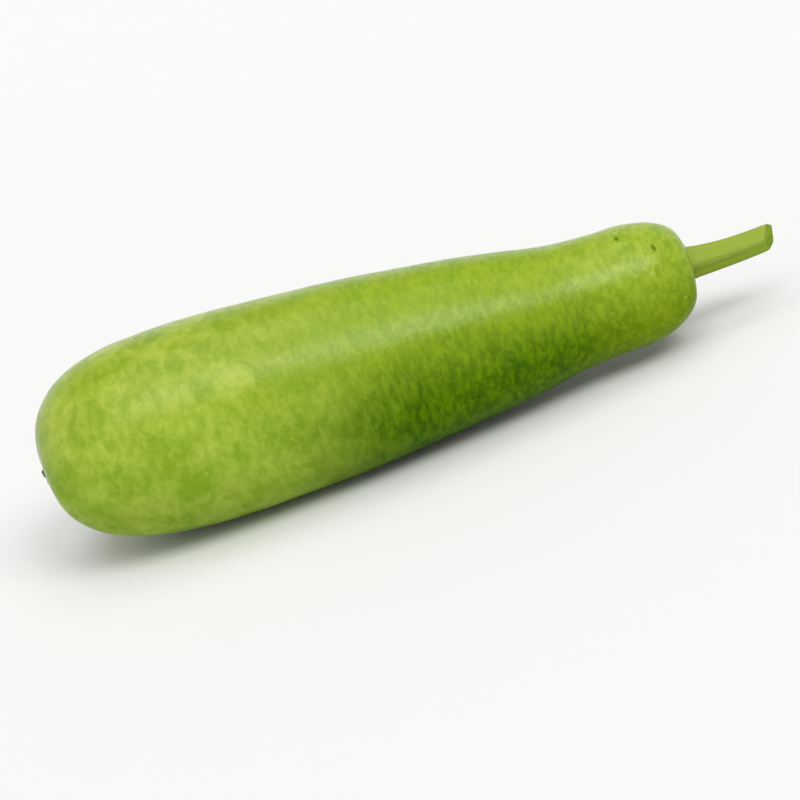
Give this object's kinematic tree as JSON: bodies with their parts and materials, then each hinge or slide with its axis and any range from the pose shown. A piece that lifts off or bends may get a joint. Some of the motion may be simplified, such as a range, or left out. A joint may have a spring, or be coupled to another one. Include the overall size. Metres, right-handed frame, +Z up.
{
  "type": "bottle gourd",
  "caption": "Whole bottle gourd with its cut, ribbed stalk, lying on its side: a club-shaped green vegetable, thick at the blossom end and narrower at the neck.",
  "frame": {"origin": "middle of the underside of the bounding box, on the surface that the gourd lies on", "axes": "+X along the fruit from the blossom end to the stalk, +Z up as it lies on its side"},
  "size_m": [0.345, 0.0904, 0.0914],
  "materials": {
    "skin": "smooth yellow-green rind with soft mottling and a soft waxy sheen, darker green and finely streaked on the lower side of the neck",
    "stem": "fibrous green stalk with ribs, freshly cut",
    "cork": "dry corky blossom scar, dark olive brown"
  },
  "bodies": {
    "root": {"fruit": "skin", "stalk": "stem", "blossom_scar": "cork"}
  },
  "joints": []
}
